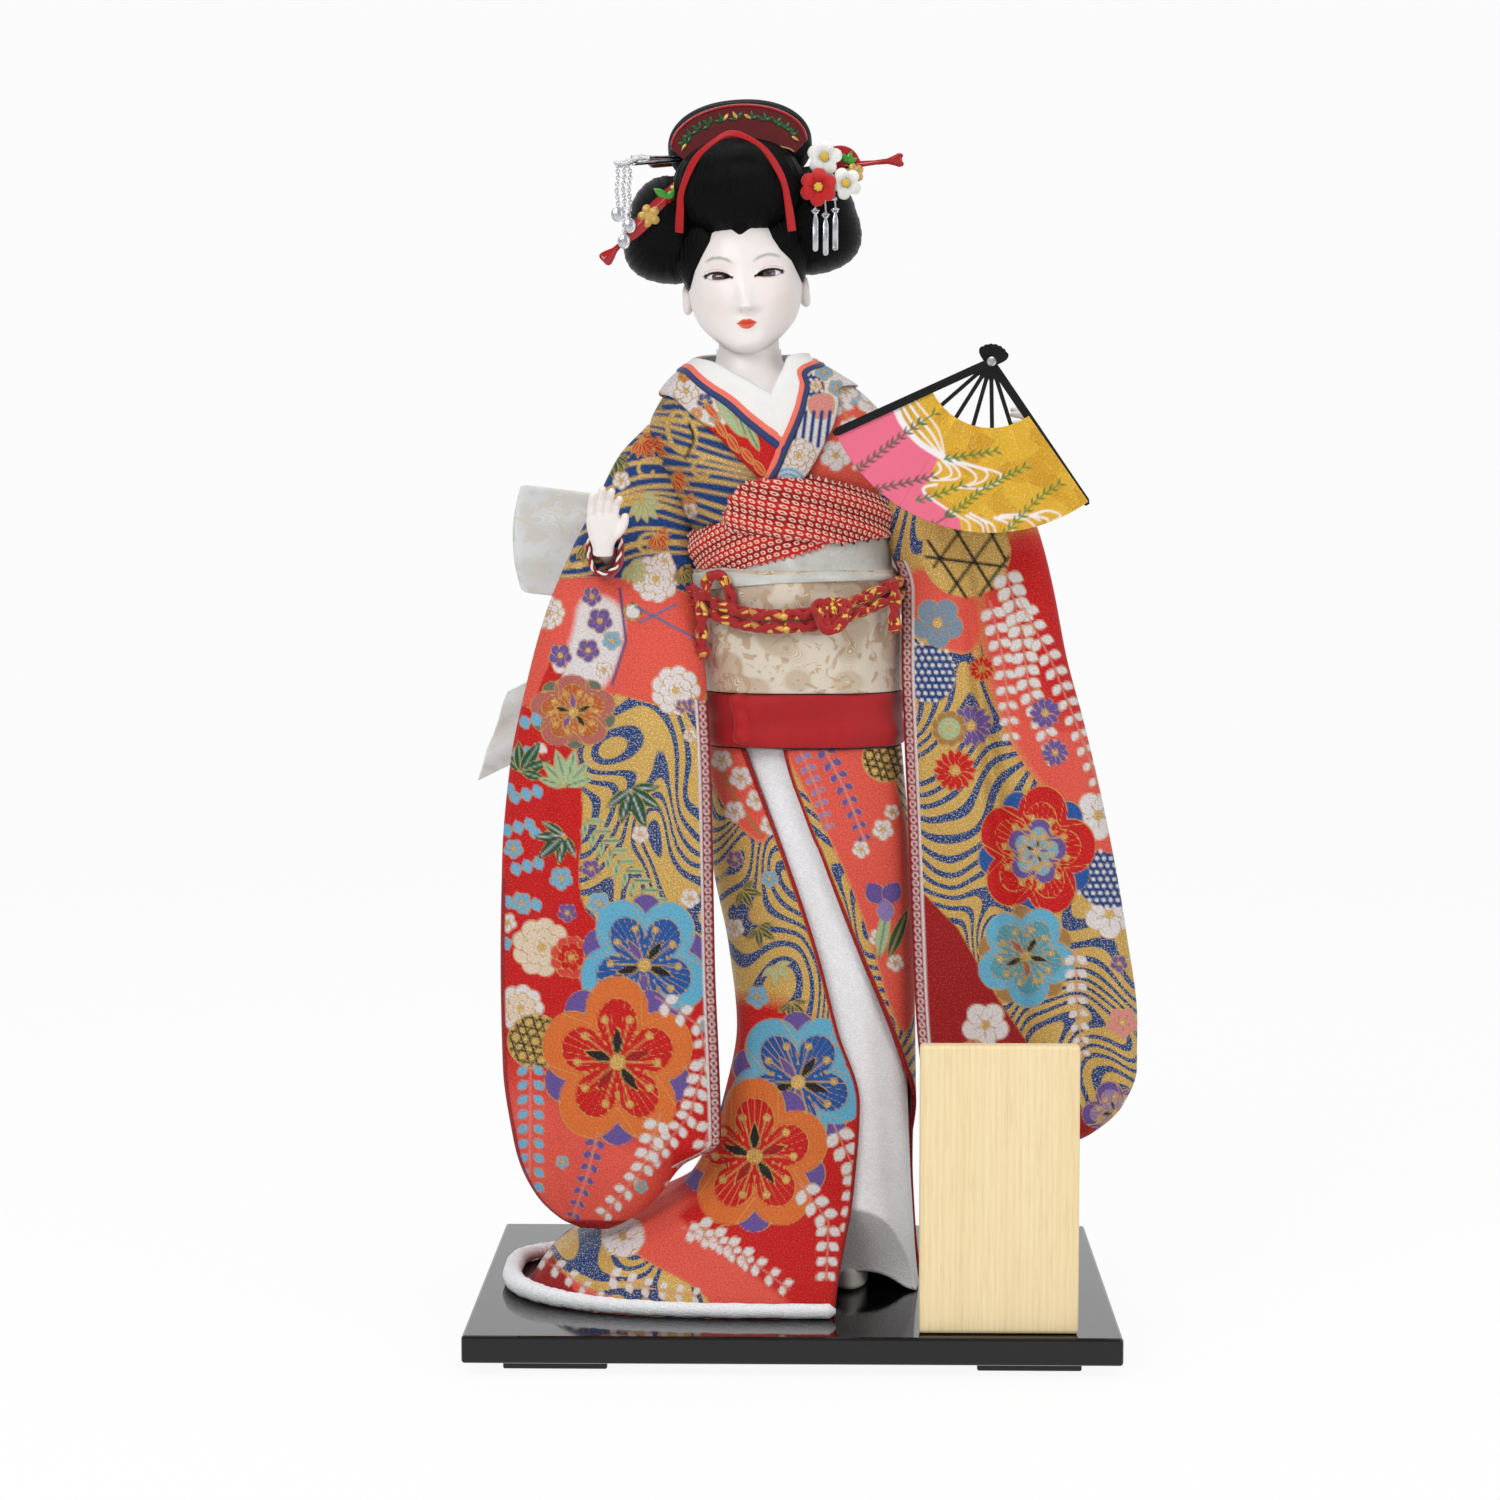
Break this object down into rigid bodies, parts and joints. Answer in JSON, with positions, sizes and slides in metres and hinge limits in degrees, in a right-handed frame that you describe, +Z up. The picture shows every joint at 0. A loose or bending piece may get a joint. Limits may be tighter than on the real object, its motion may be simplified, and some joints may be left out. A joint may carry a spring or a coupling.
{
  "type": "costume doll",
  "caption": "Standing doll in a printed long-sleeved robe with waist band and dressed hair, holding an open folding fan on a black lacquered board with a bare wooden plate.",
  "frame": {"origin": "middle of the base, on the surface that the stand's feet rest on", "axes": "+Z up, front of the doll towards -Y, the fan at +X"},
  "size_m": [0.2905, 0.21, 0.5269],
  "materials": {
    "lacquer": "gloss black lacquer",
    "wood": "bare pale wood",
    "core": "rough wood",
    "silk": "printed silk crepe with gold",
    "white_cloth": "white crepe",
    "coral": "coral silk",
    "navy": "navy silk",
    "scarlet": "scarlet silk",
    "scarf": "red and white knotted silk",
    "brocade": "pale metallic brocade",
    "cord": "braided red and gold",
    "skin": "satin white",
    "glass": "dark gloss",
    "hair": "black silk strands",
    "red_lacquer": "gloss red lacquer with gold",
    "shell": "brown gloss",
    "ribbon": "red silk",
    "petal_white": "white silk petals",
    "petal_red": "red silk petals",
    "silver": "polished silver colour",
    "black_rib": "black lacquer",
    "gold_paper": "gold leaf paper"
  },
  "bodies": {
    "figure": {"stand_board": "lacquer", "stand_foot_front_free": "lacquer", "stand_foot_front_fan": "lacquer", "stand_foot_back_free": "lacquer", "stand_foot_back_fan": "lacquer", "body_core": "core", "robe_bodice": "silk", "collar_under": "white_cloth", "collar_stripe_coral": "coral", "collar_stripe_navy": "navy", "collar_robe": "silk", "waist_sash": "scarlet", "waist_band": "brocade", "bust_scarf": "scarf", "waist_cord": "cord", "robe_skirt": "silk", "under_skirt": "white_cloth", "leg_fan": "white_cloth", "leg_free": "white_cloth", "hem_roll": "white_cloth", "sleeve_free": "silk", "sleeve_fan": "silk", "inner_cuff_free": "scarlet", "inner_cuff_fan": "scarlet", "hand_free": "skin", "hand_fan": "skin", "fan_guard_held": "black_rib", "fan_rivet": "silver", "fan_leaf": "gold_paper", "bow": "brocade", "bow_tail": "brocade"},
    "head": {"head_shell": "skin", "eye_free": "glass", "eye_fan": "glass", "hair_crown": "hair", "hair_front_roll": "hair", "hair_topknot": "hair", "hair_wing_free": "hair", "hair_wing_fan": "hair", "comb": "red_lacquer", "ribbon": "ribbon", "hair_bar": "shell", "pin_blade": "red_lacquer", "pin_paddle": "red_lacquer", "pin_silver": "silver", "flower_white_high": "petal_white", "flower_red": "petal_red", "flower_white_low": "petal_white", "flower_stem": "silver"},
    "plate": {"name_plate": "wood"},
    "fan_slat_5": {"fan_rib_5": "black_rib"},
    "fan_slat_4": {"fan_rib_4": "black_rib"},
    "fan_slat_3": {"fan_rib_3": "black_rib"},
    "fan_slat_2": {"fan_rib_2": "black_rib"},
    "fan_slat_1": {"fan_rib_1": "black_rib"},
    "fan_slat_front": {"fan_guard_front": "black_rib"},
    "pendant_1": {"pendant_strip_1": "silver"},
    "pendant_2": {"pendant_strip_2": "silver"},
    "pendant_3": {"pendant_strip_3": "silver"},
    "tassel": {"chain_tassel": "silver"}
  },
  "joints": [
    {"name": "head_turn", "type": "hinge", "parent": "figure", "child": "head", "pos_m": [-0.0195, 0.005, 0.405], "axis": [0, 0, 1], "range_deg": [-20, 20]},
    {"name": "plate_lift", "type": "slide", "parent": "figure", "child": "plate", "axis": [0, 0, 1], "range_m": [0, 0.06]},
    {"name": "fan_fold", "type": "hinge", "parent": "figure", "child": "fan_slat_5", "pos_m": [0.081, -0.065, 0.413], "axis": [0, -1, 0], "range_deg": [0, 13.68], "deforming": ["fan_leaf"]},
    {"name": "fan_fold_1", "type": "hinge", "parent": "fan_slat_5", "child": "fan_slat_4", "pos_m": [0.081, -0.065, 0.413], "axis": [0, -1, 0], "range_deg": [0, 13.68]},
    {"name": "fan_fold_2", "type": "hinge", "parent": "fan_slat_4", "child": "fan_slat_3", "pos_m": [0.081, -0.065, 0.413], "axis": [0, -1, 0], "range_deg": [0, 13.68]},
    {"name": "fan_fold_3", "type": "hinge", "parent": "fan_slat_3", "child": "fan_slat_2", "pos_m": [0.081, -0.065, 0.413], "axis": [0, -1, 0], "range_deg": [0, 13.68]},
    {"name": "fan_fold_4", "type": "hinge", "parent": "fan_slat_2", "child": "fan_slat_1", "pos_m": [0.081, -0.065, 0.413], "axis": [0, -1, 0], "range_deg": [0, 13.68]},
    {"name": "fan_fold_5", "type": "hinge", "parent": "fan_slat_1", "child": "fan_slat_front", "pos_m": [0.081, -0.065, 0.413], "axis": [0, -1, 0], "range_deg": [0, 13.68]},
    {"name": "pendant_swing_1", "type": "hinge", "parent": "head", "child": "pendant_1", "pos_m": [0.00894, -0.0096, 0.47806], "axis": [-1, 0, 0], "range_deg": [0, 40]},
    {"name": "pendant_swing_2", "type": "hinge", "parent": "head", "child": "pendant_2", "pos_m": [0.01327, -0.0096, 0.47634], "axis": [-1, 0, 0], "range_deg": [0, 40]},
    {"name": "pendant_swing_3", "type": "hinge", "parent": "head", "child": "pendant_3", "pos_m": [0.01734, -0.0096, 0.47841], "axis": [-1, 0, 0], "range_deg": [0, 40]},
    {"name": "tassel_swing", "type": "hinge", "parent": "head", "child": "tassel", "pos_m": [-0.07246, -0.011, 0.49871], "axis": [-1, 0, 0], "range_deg": [0, 40]}
  ],
  "couplings": [
    {"joint": "fan_fold_1", "follows": "fan_fold", "ratio": 1},
    {"joint": "fan_fold_2", "follows": "fan_fold", "ratio": 1},
    {"joint": "fan_fold_3", "follows": "fan_fold", "ratio": 1},
    {"joint": "fan_fold_4", "follows": "fan_fold", "ratio": 1},
    {"joint": "fan_fold_5", "follows": "fan_fold", "ratio": 1}
  ]
}
